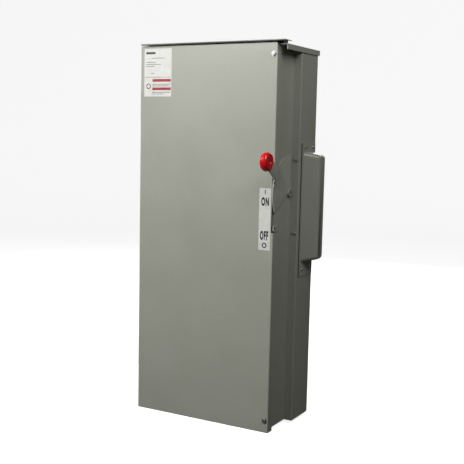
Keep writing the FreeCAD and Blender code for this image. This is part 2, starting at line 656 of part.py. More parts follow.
def rotor_bar():
    """Insulating bar with a waist at each blade and a journal at its far end."""
    bar = rod("x", ROTOR_X0, ROTOR_X1, ROTOR_Y, ROTOR_Z, ROTOR_R)
    collars = [rod("x", x - 14, x + 14, ROTOR_Y, ROTOR_Z, ROTOR_R + 4) for x in POLES]
    journal = rod("x", BEARING_X - 5, ROTOR_X0, ROTOR_Y, ROTOR_Z, STUB_R)
    socket = rod("x", ROTOR_X1 - 20, ROTOR_X1 + 1, ROTOR_Y, ROTOR_Z, STUB_R)
    return fuse([bar, journal] + collars).cut([blade_block(x) for x in POLES] + [socket])


def rotor_bearing():
    """Bracket on the pan for the rotor's far end."""
    plate = box(BEARING_X, BEARING_X + 3, -ROTOR_D - 16, PAN_Y, ROTOR_Z - 22, ROTOR_Z + 22)
    foot = box(BEARING_X, BEARING_X + 26, PAN_Y - 3, PAN_Y, ROTOR_Z - 22, ROTOR_Z + 22)
    plate = fuse([plate, foot])
    plate = round_edges(plate, 12, lambda e: along(e, "x") and middle(e).y < -ROTOR_D)
    return plate.cut(rod("x", BEARING_X - 1, BEARING_X + 4, ROTOR_Y, ROTOR_Z, STUB_R + RUN))


def mech_frame():
    """Channel bolted to the back: its two sides carry the lever shaft and the rotor's driven end."""
    back = -SHEET
    x0, x1 = FRAME_X, FRAME_OUT_X + FRAME_T
    side = [(back, ROTOR_Z - 34), (-ROTOR_D - 20, ROTOR_Z - 34), (PIVOT_Y - 20, PIVOT_Z - 24),
            (-LOCK_D - 12, LOCK_Z - 10), (-LOCK_D - 12, LOCK_Z + 14), (back, LOCK_Z + 14)]
    inner = prism("x", side, x0, x0 + FRAME_T)
    outer = box(x1 - FRAME_T, x1, Y_STEP + SHEET + 2.5, back, ROTOR_Z - 34, LOCK_Z + 14)
    window = box(x1 - FRAME_T - 1, x1 + 1, ROTOR_Y + STUB_R + 3, ROTOR_Y + 45, ROTOR_Z - 20, ROTOR_Z + 50)
    anchor = rod("x", x1 - 1, SPRING_X + SPRING_R, SPRING_Y, SPRING_Z, CRANK_PIN_R)
    web = box(x0 - 22, x1, back - FRAME_T, back, ROTOR_Z - 34, LOCK_Z + 14)
    stud = rod("x", LOCK_X - 3, x0, -LOCK_D, LOCK_Z, LOCK_PIN_R)
    shaft = rod("x", x0 - 1, x0 + FRAME_T + 1, PIVOT_Y, PIVOT_Z, SHAFT_R + RUN)
    stub = rod("x", x0 - 1, x1 + 1, ROTOR_Y, ROTOR_Z, STUB_R + RUN)
    return fuse([inner, outer, web, stud, anchor]).cut([shaft, stub, window])


def interlock_lever():
    """Drawn raised, clear of the door's catch; lowering it drops the nose into the catch's window."""
    x0, x1 = LOCK_X, LOCK_X + LOCK_T
    y, z = -LOCK_D, LOCK_Z
    arm = link_plate(y, z, y - 46, z, 8, x0, x1)
    nose = box(x0, x1, y - 52, y - 44, z - 22, z)
    tail = link_plate(y, z, y + 22, z + 12, 6, x0, x1)
    whole = fuse([arm, nose, tail]).cut(rod("x", x0 - 1, x1 + 1, y, z, LOCK_PIN_R + RUN))
    return whole.rotated(V(0, y, z), V(1, 0, 0), -LOCK_LIFT)


def toggle_spring():
    """Tension spring from the rotor's crank pin to the frame, with a closed eye at each end."""
    low_y, low_z = crank_pin_place(ROTOR_Y, ROTOR_Z)
    length = math.hypot(SPRING_Y - low_y, SPRING_Z - low_z)
    eye = CRANK_PIN_R + SPRING_WIRE + 0.1
    start = eye + 3
    coil_l = length - 2 * start
    helix = Part.makeHelix(coil_l / SPRING_TURNS, coil_l, SPRING_R)
    helix.translate(V(0, 0, start))
    ring = Part.Wire(Part.makeCircle(SPRING_WIRE, V(SPRING_R, 0, start), V(0, 1, 0)))
    coil = Part.Wire(helix.Edges).makePipeShell([ring], True, True)
    eyes = [Part.makeTorus(eye, SPRING_WIRE, V(0, 0, z), V(1, 0, 0)) for z in (0, length)]
    legs = [rod("y", 0, SPRING_R, 0, z, SPRING_WIRE) for z in (start, length - start)]
    legs = [leg.rotated(V(0, 0, 0), V(0, 0, 1), -90) for leg in legs]
    spring = fuse([coil] + eyes + legs)
    tilt = math.degrees(math.atan2(SPRING_Y - low_y, SPRING_Z - low_z))
    spring = spring.rotated(V(0, 0, 0), V(1, 0, 0), -tilt)
    return spring.translated(V(SPRING_X, low_y, low_z))


# ---------------------------------------------------------------- switch base, contacts and fuses
def mounting_pan():
    """Tray that spaces the switch off the case's back."""
    tray = box(PAN_X0, PAN_X1, PAN_Y, -SHEET, PAN_Z0, PAN_Z1)
    hollow = box(PAN_X0 + PAN_T, PAN_X1 - PAN_T, PAN_Y + PAN_T, 0, PAN_Z0 - 1, PAN_Z1 + 1)
    holes = [rod("y", PAN_Y - 1, 0, x, z, 4) for x, z in PAN_BOLTS]
    return tray.cut([hollow] + holes)


def pan_bolts():
    bolts = []
    for x, z in PAN_BOLTS:
        length = -PAN_Y - SHEET
        bolts.append(screw("y", PAN_Y, x, z, 4, length, 7.5, 5, way=-1))
    return bolts


def line_base():
    base = box(BASE_X0, BASE_X1, BUS_Y, PAN_Y, *LINE_BASE_Z)
    pockets = [box(x - 14, x + 14, BUS_Y + 40, PAN_Y + 1, LINE_BASE_Z[0] + 12, LINE_BASE_Z[1] - 12)
               for x in POLES]
    return round_edges(base.cut(pockets), 3, lambda e: along(e, "y") and abs(middle(e).x - POLE_X) > 150)


def load_base():
    """Two blocks joined by a web, one at each end of the fuses."""
    blocks = [box(BASE_X0, BASE_X1, BUS_Y, PAN_Y, *span) for span in (LOAD_BASE_Z, FOOT_BASE_Z)]
    web = box(BASE_X0, BASE_X1, PAN_Y - 10, PAN_Y, FOOT_BASE_Z[0], LOAD_BASE_Z[1])
    return fuse(blocks + [web])


def jaw(x, way):
    """Two fins that the blade enters, on a bus that runs away from the rotor."""
    def span(a, b):
        ends = (ROTOR_Z + way * a, ROTOR_Z + way * b)
        return min(ends), max(ends)
    bus = box(x - 14, x + 14, BUS_Y - BUS_T, BUS_Y, *span(BLADE_REACH + 3, 168))
    inner = BLADE_T / 2 + CONTACT_GAP
    fins = []
    for side in (-1, 1):
        a, b = sorted((x + side * inner, x + side * (inner + JAW_T)))
        fin = box(a, b, ROTOR_Y - BLADE_W / 2 - 3, BUS_Y, *span(48, BLADE_REACH + 14))
        fins.append(round_edges(fin, 5, lambda e: along(e, "x") and middle(e).y < ROTOR_Y))
    return fuse([bus] + fins)


def fuse_clip(x, z0, z1, plate):
    """Spring fins on a foot, or on the lower bus."""
    fins = []
    for side in (-1, 1):
        a, b = sorted((x + side * 2.5, x + side * 5.0))
        fins.append(box(a, b, FUSE_Y - FUSE_LEG_W / 2 - 2, plate, z0, z1))
    return fins


def fuse_clips():
    clips = []
    for x in POLES:
        top = (FUSE_TOP + 3, FUSE_TOP + FUSE_LEG)
        foot_y = BUS_Y - BUS_T
        foot = box(x - 12, x + 12, foot_y - 3, foot_y, *top)
        clips.append(fuse([foot] + fuse_clip(x, *top, foot_y)))
        low = (FUSE_END - FUSE_LEG, FUSE_END - 3)
        bus = box(x - 14, x + 14, BUS_Y - BUS_T, BUS_Y, FOOT_BASE_Z[0] + 2, FUSE_END - 5)
        clips.append(fuse([bus] + fuse_clip(x, *low, BUS_Y)))
    return clips


def fuse_link(x):
    """Cartridge fuse with metal end caps and knife legs."""
    barrel = rod("z", FUSE_END, FUSE_TOP, x, FUSE_Y, FUSE_R - 1)
    caps = [rod("z", z, z + 22, x, FUSE_Y, FUSE_R) for z in (FUSE_END, FUSE_TOP - 22)]
    half = FUSE_LEG_W / 2
    legs = box(x - 2.5, x + 2.5, FUSE_Y - half, FUSE_Y + half, FUSE_END - FUSE_LEG, FUSE_TOP + FUSE_LEG)
    return fuse([barrel, legs] + caps)


def lugs(z0, z1):
    """Box lugs on the bus bars, bored along Z for the cable."""
    out = []
    y0 = BUS_Y - BUS_T - LUG_DEEP
    for x in POLES:
        block = box(x - LUG_HALF, x + LUG_HALF, y0, BUS_Y - BUS_T, z0, z1)
        block = round_edges(block, 3, lambda e: along(e, "z"))
        cable = rod("z", z0 - 1, z1 + 1, x, y0 + LUG_DEEP / 2 + 3, CABLE_R)
        thread = rod("y", y0 - 1, y0 + LUG_DEEP / 2, x, (z0 + z1) / 2, 7)
        out.append(block.cut([cable, thread]))
    return out


def lug_screws():
    out = []
    y0 = BUS_Y - BUS_T - LUG_DEEP
    for x in POLES:
        for z0, z1 in (LINE_LUG_Z, LOAD_LUG_Z):
            z = (z0 + z1) / 2
            shank = rod("y", y0 - 8, y0 + 7, x, z, 7)
            out.append(shank.cut(rod("y", y0 - 9, y0 - 2, x, z, 3.6)))
    return out


def arc_chute(x):
    """Two cheeks with steel splitter plates between them, slotted for the blade's tip."""
    y_front, y_back = -170.0, ROTOR_Y - BLADE_W / 2 - 5
    z0, z1 = ROTOR_Z + 50, ROTOR_Z + 116
    cheeks = [box(x + a, x + a + 2, y_front, BUS_Y, z0, z1) for a in (-19, 17)]
    splitters = []
    y = y_front + 4
    while y < y_back - 2:
        splitters.append(box(x - 17, x + 17, y, y + 1.6, z0 + 3, z1 - 3))
        y += 9
    roof = box(x - 17, x + 17, y_front, BUS_Y - BUS_T - 1, z1 - 3, z1)
    slot = box(x - 7, x + 7, y_front - 1, y_back, z0 - 1, ROTOR_Z + BLADE_REACH + 8)
    return fuse(cheeks + splitters + [roof]).cut(slot)


def phase_barriers():
    out = []
    for x in (POLE_X - POLE_PITCH / 2, POLE_X + POLE_PITCH / 2):
        for z0, z1 in ((FOOT_BASE_Z[0], ROTOR_Z - ROTOR_R - 8), (ROTOR_Z + ROTOR_R + 8, LINE_BASE_Z[1])):
            out.append(box(x - 1.2, x + 1.2, -190, BUS_Y, z0, z1))
    return out


def line_shield():
    """Clear cover in front of the line lugs, clipped to the sides of the line base."""
    y0 = -198.0
    z0, z1 = LINE_LUG_Z[0] - 8, LINE_BASE_Z[1] + 22
    front = box(BASE_X0 - 2, BASE_X1 + 2, y0, y0 + 2, z0, z1)
    sides = [box(BASE_X0 - 2, BASE_X0, y0, BUS_Y + 20, z0, LINE_BASE_Z[1] - 4),
             box(BASE_X1, BASE_X1 + 2, y0, BUS_Y + 20, z0, LINE_BASE_Z[1] - 4)]
    return fuse([front] + sides)


def bar_with_screws(x0, x1, y0, y1, z0, z1, pitch):
    """Terminal bar: a row of wire holes across it and a row of screws into it."""
    bar = box(x0, x1, y0, y1, z0, z1)
    count = int((z1 - z0) / pitch)
    first = (z0 + z1 - (count - 1) * pitch) / 2
    rows = [first + i * pitch for i in range(count)]
    wires = [rod("x", x0 - 1, x1 + 1, (y0 + y1) / 2, z, pitch * 0.24) for z in rows]
    screws = [rod("y", y0 - 3, y0, (x0 + x1) / 2, z, pitch * 0.22) for z in rows]
    slots = [box(x0, x1, y0 - 4, y0 - 1.6, z - 0.7, z + 0.7) for z in rows]
    return fuse([bar] + screws).cut(wires + slots)


def neutral_base():
    return box(NEUTRAL_X[0] - 1, NEUTRAL_X[1] + 1, -32, -SHEET, NEUTRAL_Z[0] - 6, NEUTRAL_Z[1] + 6)


def neutral_bar():
    return bar_with_screws(*NEUTRAL_X, -52, -32, *NEUTRAL_Z, 24)


def ground_bar():
    return bar_with_screws(*NEUTRAL_X, -SHEET - 12, -SHEET, *GROUND_Z, 12)


# ---------------------------------------------------------------- write every node
for name, shape in {
    "enclosure_body": enclosure_body(), "top_endwall": top_endwall(), "bottom_endwall": bottom_endwall(),
    "knockout_slugs": knockout_slugs(), "rain_hood": rain_hood(), "hub_plate": hub_plate(),
    "hub_plate_screws": hub_plate_screws(), "side_cover": side_cover(),
    "side_cover_screws": side_cover_screws(), "ledge_rivets": ledge_rivets(), "padlock_ear": padlock_ear(),
    "drive_crank": drive_crank(), "hinge_leaves": hinge_leaves(), "hinge_pins": hinge_pins(),
    "door": door(), "door_hinge_leaves": door_hinge_leaves(), "door_catch": door_catch(),
    "nameplate": nameplate(), "on_off_label": on_off_label(), "lever": lever(), "knob": knob(),
    "crank_pin": crank_pin(), "handle_shaft": handle_shaft(), "mech_frame": mech_frame(),
    "drive_link": drive_link(), "rotor_crank": rotor_crank(), "rotor_bar": rotor_bar(),
    "rotor_bearing": rotor_bearing(), "interlock_lever": interlock_lever(), "toggle_spring": toggle_spring(),
    "mounting_pan": mounting_pan(), "pan_bolts": pan_bolts(), "line_base": line_base(),
    "load_base": load_base(), "fuse_clips": fuse_clips(), "line_lugs": lugs(*LINE_LUG_Z),
    "load_lugs": lugs(*LOAD_LUG_Z), "lug_screws": lug_screws(), "phase_barriers": phase_barriers(),
    "line_shield": line_shield(), "neutral_base": neutral_base(), "neutral_bar": neutral_bar(),
    "ground_bar": ground_bar(),
}.items():
    save(name, shape)

for name in door_screw_places():
    save(name, door_screw(name))

for number, x in enumerate(POLES, start=1):
    save("blade_%d" % number, blade(x))
    save("line_jaw_%d" % number, jaw(x, 1))
    save("load_jaw_%d" % number, jaw(x, -1))
    save("fuse_%d" % number, fuse_link(x))
    save("arc_chute_%d" % number, arc_chute(x))
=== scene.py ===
import math

import bmesh
import bpy
from mathutils import Matrix, Vector


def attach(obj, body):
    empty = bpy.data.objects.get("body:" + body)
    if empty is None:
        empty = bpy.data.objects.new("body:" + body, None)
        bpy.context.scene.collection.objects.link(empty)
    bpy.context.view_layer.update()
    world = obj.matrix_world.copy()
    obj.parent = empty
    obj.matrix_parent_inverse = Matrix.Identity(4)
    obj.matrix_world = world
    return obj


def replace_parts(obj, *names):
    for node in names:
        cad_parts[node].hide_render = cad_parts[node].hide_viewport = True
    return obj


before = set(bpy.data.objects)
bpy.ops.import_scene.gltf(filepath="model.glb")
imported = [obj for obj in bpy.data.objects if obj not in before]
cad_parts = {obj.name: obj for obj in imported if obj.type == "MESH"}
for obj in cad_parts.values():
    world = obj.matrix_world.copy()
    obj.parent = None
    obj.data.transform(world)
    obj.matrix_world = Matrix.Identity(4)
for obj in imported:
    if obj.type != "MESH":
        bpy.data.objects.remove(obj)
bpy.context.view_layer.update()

# ------------------------------------------------------------------ folded case
# The enclosure is one wrap of 1.9 mm galvanised steel with a step down its right side, and two
# welded end walls. It is dipped, sprayed with light grey powder and baked, so every outside face
# shares one skin: satin, a little uneven in sheen, with the soft ripple of powder that has flowed.

MM = 0.001


def linear(hex_colour):
    """An sRGB hex colour as the linear RGBA that shader sockets take."""
    channels = [int(hex_colour[i : i + 2], 16) / 255 for i in (1, 3, 5)]
    lin = [c / 12.92 if c <= 0.04045 else ((c + 0.055) / 1.055) ** 2.4 for c in channels]
    return (*lin, 1.0)


def add(tree, kind, settings=None, links=None, **values):
    """Add one node: its settings, the constants on its sockets, and the sockets it reads from."""
    node = tree.nodes.new(kind)
    for name, value in (settings or {}).items():
        setattr(node, name, value)
    for name, value in values.items():
        node.inputs[name.replace("_", " ")].default_value = value
    for name, source in (links or {}).items():
        tree.links.new(source, node.inputs[name])
    return node


def new_finish(name):
    """An empty material with its shader, its output and the piece's own coordinates."""
    material = bpy.data.materials.new(name)
    material.use_nodes = True
    tree = material.node_tree
    tree.nodes.clear()
    shader = add(tree, "ShaderNodeBsdfPrincipled")
    add(tree, "ShaderNodeOutputMaterial", links={"Surface": shader.outputs["BSDF"]})
    place = add(tree, "ShaderNodeTexCoord").outputs["Object"]
    return material, tree, shader, place


def patches(tree, place, size_mm, detail=3.0, roughness=0.55, stretch=(1, 1, 1)):
    """Cloudy variation whose patches are about size_mm across; gives a value around 0.5."""
    scaled = add(tree, "ShaderNodeMapping", links={"Vector": place}, Scale=stretch)
    noise = add(tree, "ShaderNodeTexNoise", links={"Vector": scaled.outputs["Vector"]},
                Scale=1000.0 / size_mm, Detail=detail, Roughness=roughness)
    return noise.outputs["Fac"]


def spread(tree, value, low, high, start=0.3, end=0.7):
    """The value's usual spread taken to the range from low to high."""
    return add(tree, "ShaderNodeMapRange", links={"Value": value}, From_Min=start, From_Max=end,
               To_Min=low, To_Max=high).outputs["Result"]


def tint(tree, shader, factor, dark, light):
    """Base colour between two hex colours."""
    mix = add(tree, "ShaderNodeMix", {"data_type": "RGBA"}, {"Factor": factor})
    mix.inputs[6].default_value = linear(dark)
    mix.inputs[7].default_value = linear(light)
    tree.links.new(mix.outputs[2], shader.inputs["Base Color"])
    return mix.outputs[2]


def relief(tree, shader, height, depth_mm, strength=1.0):
    """Fine surface shape from a height value; depth is the real depth in millimetres."""
    bump = add(tree, "ShaderNodeBump", links={"Height": height}, Strength=strength,
               Distance=depth_mm * MM)
    tree.links.new(bump.outputs["Normal"], shader.inputs["Normal"])
    return bump


def powder_coat(name, dark, light, rough_low=0.38, rough_high=0.5):
    """Polyester powder coat on steel. The eye sees a satin grey whose highlights break up softly:
    ripple about 3 mm across (drawn a little coarser than real, so that it shows), broad sheen
    patches, and fine pepper specks where single grains of powder stand proud."""
    material, tree, shader, place = new_finish(name)
    broad = patches(tree, place, 190, detail=3)
    specks = patches(tree, place, 2.4, detail=2)
    mottle = add(tree, "ShaderNodeMath", {"operation": "MULTIPLY"}, {0: broad, 1: specks})
    tint(tree, shader, spread(tree, mottle.outputs["Value"], 0.0, 1.0, 0.12, 0.38), dark, light)
    tree.links.new(spread(tree, broad, rough_low, rough_high), shader.inputs["Roughness"])
    peel = patches(tree, place, 3.2, detail=2, roughness=0.4)
    relief(tree, shader, peel, 0.06)
    shader.inputs["Coat Weight"].default_value = 0.3
    shader.inputs["Coat Roughness"].default_value = 0.18
    return material


CASE_GREY = powder_coat("powder_coat_light_grey", "#A1A396", "#A9AB9F")


def finish_node(name, material, weld=True):
    """Give a carried-over part its finish and slot; the weld lets its bends shade smoothly."""
    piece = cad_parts[name]
    piece.data.materials.clear()
    piece.data.materials.append(material)
    if weld:
        piece.data.polygons.foreach_set("use_smooth", [True] * len(piece.data.polygons))
        joined = piece.modifiers.new("weld", "WELD")
        joined.merge_threshold = 0.01 * MM
        creased = piece.modifiers.new("creases", "EDGE_SPLIT")
        creased.split_angle = math.radians(32)
    return piece


for node_name in ("enclosure_body", "top_endwall", "bottom_endwall", "knockout_slugs"):
    finish_node(node_name, CASE_GREY)

# ------------------------------------------------------------------ rain hood and hub plate
# A flat galvanised roof with turned-down skirts is spot-welded on the case, and a hemmed visor
# stands over the door's top edge. A small closing plate covers the conduit hub opening in the
# roof, held by four zinc-plated pan-head screws.

ZINC_DARK, ZINC_LIGHT = "#B0B3B2", "#C4C6C2"


def zinc_plate(name, dark=ZINC_DARK, light=ZINC_LIGHT, rough=0.3):
    """Bright zinc plate on steel. The eye sees a cool, slightly cloudy metal with soft highlights
    and a faint grain of drawing marks, about 0.8 mm apart."""
    material, tree, shader, place = new_finish(name)
    clouds = patches(tree, place, 24, detail=3)
    tint(tree, shader, spread(tree, clouds, 0.0, 1.0), dark, light)
    tree.links.new(spread(tree, clouds, rough - 0.06, rough + 0.1), shader.inputs["Roughness"])
    grain = patches(tree, place, 0.8, detail=2, stretch=(1, 1, 0.15))
    relief(tree, shader, grain, 0.006)
    shader.inputs["Metallic"].default_value = 1.0
    return material


ZINC = zinc_plate("zinc_plated_steel")

for node_name in ("rain_hood", "hub_plate"):
    finish_node(node_name, CASE_GREY)


def socket_id(tree, name):
    """The identifier of a node group's input, which is what a modifier stores its value under."""
    return next(item.identifier for item in tree.interface.items_tree
                if item.name == name and item.in_out == "INPUT")


def new_rule(name, inputs):
    """A Geometry Nodes tree with a mesh in, a mesh out and named inputs."""
    tree = bpy.data.node_groups.new(name, "GeometryNodeTree")
    tree.interface.new_socket("Geometry", in_out="INPUT", socket_type="NodeSocketGeometry")
    for label, kind in inputs:
        tree.interface.new_socket(label, in_out="INPUT", socket_type=kind)
    tree.interface.new_socket("Geometry", in_out="OUTPUT", socket_type="NodeSocketGeometry")
    return tree, tree.nodes.new("NodeGroupInput").outputs


def end_rule(tree, geometry, material):
    """Real mesh with its material: instances are realised, then the finish is set."""
    real = add(tree, "GeometryNodeRealizeInstances", links={"Geometry": geometry})
    done = add(tree, "GeometryNodeSetMaterial", links={"Geometry": real.outputs["Geometry"],
                                                       "Material": material})
    return done.outputs["Geometry"]


def mesh_piece(name, mesh, body):
    """A finished piece at the origin, riding on its body."""
    piece = bpy.data.objects.new(name, mesh)
    bpy.context.scene.collection.objects.link(piece)
    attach(piece, body)
    return piece


def run_rule(name, tree, mesh, values):
    """The plain mesh that a tree makes from the mesh and the named values."""
    maker = bpy.data.objects.new(name + "_maker", mesh)
    bpy.context.scene.collection.objects.link(maker)
    rule = maker.modifiers.new("rule", "NODES")
    rule.node_group = tree
    for label, value in values.items():
        rule[socket_id(tree, label)] = value
    bpy.context.view_layer.update()
    ready = maker.evaluated_get(bpy.context.evaluated_depsgraph_get())
    made = bpy.data.meshes.new_from_object(ready)
    made.name = name
    bpy.data.objects.remove(maker)
    return made


def points_mesh(name, points):
    """Loose points in millimetres."""
    mesh = bpy.data.meshes.new(name)
    mesh.from_pydata([(x * MM, y * MM, z * MM) for x, y, z in points], [], [])
    return mesh


def head_rule():
    """Screw and rivet heads: a stack of three tapered rings on each point, slotted where asked,
    each turned by its own amount as a hand-driven screw is."""
    tree, given = new_rule("fastener_heads", [
        ("Head radius", "NodeSocketFloat"), ("Head height", "NodeSocketFloat"),
        ("Slot width", "NodeSocketFloat"), ("Facing", "NodeSocketVector"),
        ("Seed", "NodeSocketInt"), ("Finish", "NodeSocketMaterial")])

    def product(a, b):
        links, values = {}, {}
        for index, side in enumerate((a, b)):
            (values if isinstance(side, float) else links)[index] = side
        node = add(tree, "ShaderNodeMath", {"operation": "MULTIPLY"}, links)
        for index, side in values.items():
            node.inputs[index].default_value = side
        return node.outputs["Value"]

    rings = []
    for bottom_r, top_r, low, high in ((1.0, 1.0, -0.1, 0.42), (1.0, 0.88, 0.42, 0.76),
                                       (0.88, 0.56, 0.76, 1.0)):
        ring = add(tree, "GeometryNodeMeshCone", {"fill_type": "NGON"},
                   {"Radius Top": product(given["Head radius"], top_r),
                    "Radius Bottom": product(given["Head radius"], bottom_r),
                    "Depth": product(given["Head height"], high - low)}, Vertices=28)
        lift = add(tree, "ShaderNodeCombineXYZ", links={"Z": product(given["Head height"], low)})
        rings.append(add(tree, "GeometryNodeTransform", None,
                         {"Geometry": ring.outputs["Mesh"], "Translation": lift.outputs[0]}))
    stack = add(tree, "GeometryNodeJoinGeometry")
    for ring in reversed(rings):
        tree.links.new(ring.outputs[0], stack.inputs[0])
    head = add(tree, "GeometryNodeMergeByDistance", links={"Geometry": stack.outputs[0]},
               Distance=0.001 * MM)
    cutter_size = add(tree, "ShaderNodeCombineXYZ", links={
        "X": product(given["Head radius"], 2.4), "Y": given["Slot width"],
        "Z": product(given["Head height"], 0.9)})
    cutter = add(tree, "GeometryNodeMeshCube", None, {"Size": cutter_size.outputs[0]})
    raised = add(tree, "ShaderNodeCombineXYZ", links={"Z": given["Head height"]})
    cutter = add(tree, "GeometryNodeTransform", None,
                 {"Geometry": cutter.outputs["Mesh"], "Translation": raised.outputs[0]})
    slotted = add(tree, "GeometryNodeMeshBoolean", {"operation": "DIFFERENCE"},
                  {"Mesh 1": head.outputs[0], "Mesh 2": cutter.outputs[0]})
    has_slot = add(tree, "FunctionNodeCompare", {"operation": "GREATER_THAN"},
                   {"A": given["Slot width"]}, B=0.0)
    chosen = add(tree, "GeometryNodeSwitch", {"input_type": "GEOMETRY"},
                 {"Switch": has_slot.outputs[0], "False": head.outputs[0],
                  "True": slotted.outputs["Mesh"]})
    turn = add(tree, "FunctionNodeRandomValue", {"data_type": "FLOAT"}, {"Seed": given["Seed"]})
    turn.inputs[2].default_value = 0.0
    turn.inputs[3].default_value = math.pi
    spin = add(tree, "ShaderNodeCombineXYZ", links={"Z": turn.outputs[1]})
    faced = add(tree, "FunctionNodeEulerToRotation", None, {"Euler": given["Facing"]})
    spun = add(tree, "FunctionNodeEulerToRotation", None, {"Euler": spin.outputs[0]})
    both = add(tree, "FunctionNodeRotateRotation", {"rotation_space": "LOCAL"},
               {"Rotation": faced.outputs[0], "Rotate By": spun.outputs[0]})
    dots = add(tree, "GeometryNodeMeshToPoints", None, {"Mesh": given["Geometry"]})
    heads = add(tree, "GeometryNodeInstanceOnPoints", None,
                {"Points": dots.outputs[0], "Instance": chosen.outputs[0],
                 "Rotation": both.outputs[0]})
    out = tree.nodes.new("NodeGroupOutput")
    tree.links.new(end_rule(tree, heads.outputs[0], given["Finish"]), out.inputs[0])
    return tree


HEADS = head_rule()
FACE_UP, FACE_RIGHT, FACE_FRONT = (0, 0, 0), (0, math.pi / 2, 0), (math.pi / 2, 0, 0)


def set_heads(name, node, points, radius, height, slot_width, facing, seed, finish):
    """Heads on the given points, in place of the CAD screws of the same sizes."""
    made = run_rule(name, HEADS, points_mesh(name + "_points", points), {
        "Head radius": radius * MM, "Head height": height * MM, "Slot width": slot_width * MM,
        "Facing": facing, "Seed": seed, "Finish": finish})
    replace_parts(mesh_piece(name, made, "enclosure"), node)


ROOF_TOP, HUB_PITCH, HUB_BACK = 556.4, 45, -100
set_heads("hub_plate_screw_heads", "hub_plate_screws",
          [(i * HUB_PITCH, HUB_BACK + k * HUB_PITCH, ROOF_TOP) for i in (-1, 1) for k in (-1, 1)],
          4.8, 2.6, 1.2, FACE_UP, 3, ZINC)

# ------------------------------------------------------------------ side cover, rivets, padlock ear
# A deep-drawn steel cover over the toggle mechanism, painted with the case: a flat flange with
# four screws and a rounded bulge whose walls lean in, as a drawing die leaves them. Two pairs of
# steel rivets on the step hold the frame inside. The ear beside the lever takes a padlock. A
# black strip drawn like a rubber gasket round the cover's flange is painted shade: it stands in for the
# shadow line under the flange's edge.

for node_name in ("side_cover", "padlock_ear"):
    finish_node(node_name, CASE_GREY)
COVER_FACE, COVER_ROWS, COVER_LINES = 241.9, (-95, 268), (-80, -28)
set_heads("side_cover_screw_heads", "side_cover_screws",
          [(COVER_FACE, y, z) for y in COVER_LINES for z in COVER_ROWS],
          4.8, 2.8, 1.3, FACE_RIGHT, 8, ZINC)


def painted_shade_strip_finish(name):
    """Painted shade: a matt near-black strip that stands in for the shadow line under the cover flange's
    edge, drawn like rubber with a faint chalky bloom 6 mm across.
    """
    material, tree, shader, place = new_finish(name)
    bloom = patches(tree, place, 6, detail=3)
    tint(tree, shader, spread(tree, bloom, 0, 1), "#151515", "#262625")
    tree.links.new(spread(tree, bloom, 0.6, 0.85), shader.inputs["Roughness"])
    relief(tree, shader, bloom, 0.05)
    return material


def rounded_outline(y0, y1, z0, z1, r, grow):
    """Corners of a rounded rectangle in the cover's plane, moved out by grow."""
    spots = []
    for cy, cz, start in ((y1 - r, z1 - r, 0), (y0 + r, z1 - r, 90), (y0 + r, z0 + r, 180),
                          (y1 - r, z0 + r, 270)):
        for a in range(start, start + 91, 15):
            spots.append((cy + (r + grow) * math.cos(math.radians(a)),
                          cz + (r + grow) * math.sin(math.radians(a))))
    return spots


# Painted shade: this black strip round the cover's flange stands in for the shadow line under its edge.
SHADE_STRIP_X = (240.05, 241.5)
SHADE_STRIP_SIDES = (-101.5, -12, -113, 278, 4)
rims = [rounded_outline(*SHADE_STRIP_SIDES, grow) for grow in (-3, 2.4)]
shade_strip = bmesh.new()
loops = [[shade_strip.verts.new((x * MM, y * MM, z * MM)) for y, z in rim]
         for x in SHADE_STRIP_X for rim in rims]
for a, b in ((0, 1), (1, 3), (3, 2), (2, 0)):
    for i in range(len(loops[0])):
        j = (i + 1) % len(loops[0])
        shade_strip.faces.new((loops[a][i], loops[a][j], loops[b][j], loops[b][i]))
bmesh.ops.recalc_face_normals(shade_strip, faces=shade_strip.faces)
shade_strip_mesh = bpy.data.meshes.new("side_cover_gasket")
shade_strip.to_mesh(shade_strip_mesh)
shade_strip.free()
shade_strip_mesh.materials.append(painted_shade_strip_finish("painted_shade_black_strip"))
mesh_piece("side_cover_gasket", shade_strip_mesh, "enclosure")
STEP_FACE = -117.5
set_heads("step_rivet_heads", "ledge_rivets",
          [(x, STEP_FACE, z) for x in (225.0, 233.5) for z in (230, 15)],
          4.2, 1.8, 0, FACE_FRONT, 1, ZINC)

# ------------------------------------------------------------------ door, hinges and door screws
# The door is a pan of folded steel, powder coated with the case, on two welded leaf hinges with
# zinc-plated pins. It shuts over the case's front return and is held by two captive slotted
# screws with washer faces. A welded bracket inside catches the interlock lever.

for node_name in ("door", "door_hinge_leaves", "hinge_leaves"):
    finish_node(node_name, CASE_GREY)
SCREW_ZINC = zinc_plate("zinc_plated_door_screw", "#9C9F9C", "#B5B7B3", 0.42)
for node_name in ("hinge_pins", "door_catch"):
    finish_node(node_name, ZINC)
for node_name in ("door_screw_top", "door_screw_bottom"):
    finish_node(node_name, SCREW_ZINC)

# ------------------------------------------------------------------ nameplate and ON/OFF label
# Two adhesive vinyl labels with a satin laminate, screen printed. The nameplate carries ruled
# lines and blocks in place of wording; the label beside the lever has the switch's generic marks.

LABEL_FACE = -231.9
PRINT_T = 0.06


def vinyl(name, dark, light, rough):
    """Laminated vinyl or its ink. The eye sees an even, slightly warm face with a soft sheen and
    the faint long ripple of film on paint, about 14 mm from crest to crest."""
    material, tree, shader, place = new_finish(name)
    ripple = patches(tree, place, 14, detail=1)
    tint(tree, shader, spread(tree, ripple, 0, 1), dark, light)
    tree.links.new(spread(tree, ripple, rough, rough + 0.1), shader.inputs["Roughness"])
    relief(tree, shader, ripple, 0.05)
    shader.inputs["IOR"].default_value = 1.5
    return material


LABEL_WHITE = vinyl("vinyl_label_white", "#D9DAD4", "#E2E2DC", 0.32)
INK_BLACK = vinyl("screen_ink_black", "#1B1C1D", "#242526", 0.36)
INK_RED = vinyl("screen_ink_red", "#A3262B", "#B02C30", 0.36)
for node_name in ("nameplate", "on_off_label"):
    finish_node(node_name, LABEL_WHITE)


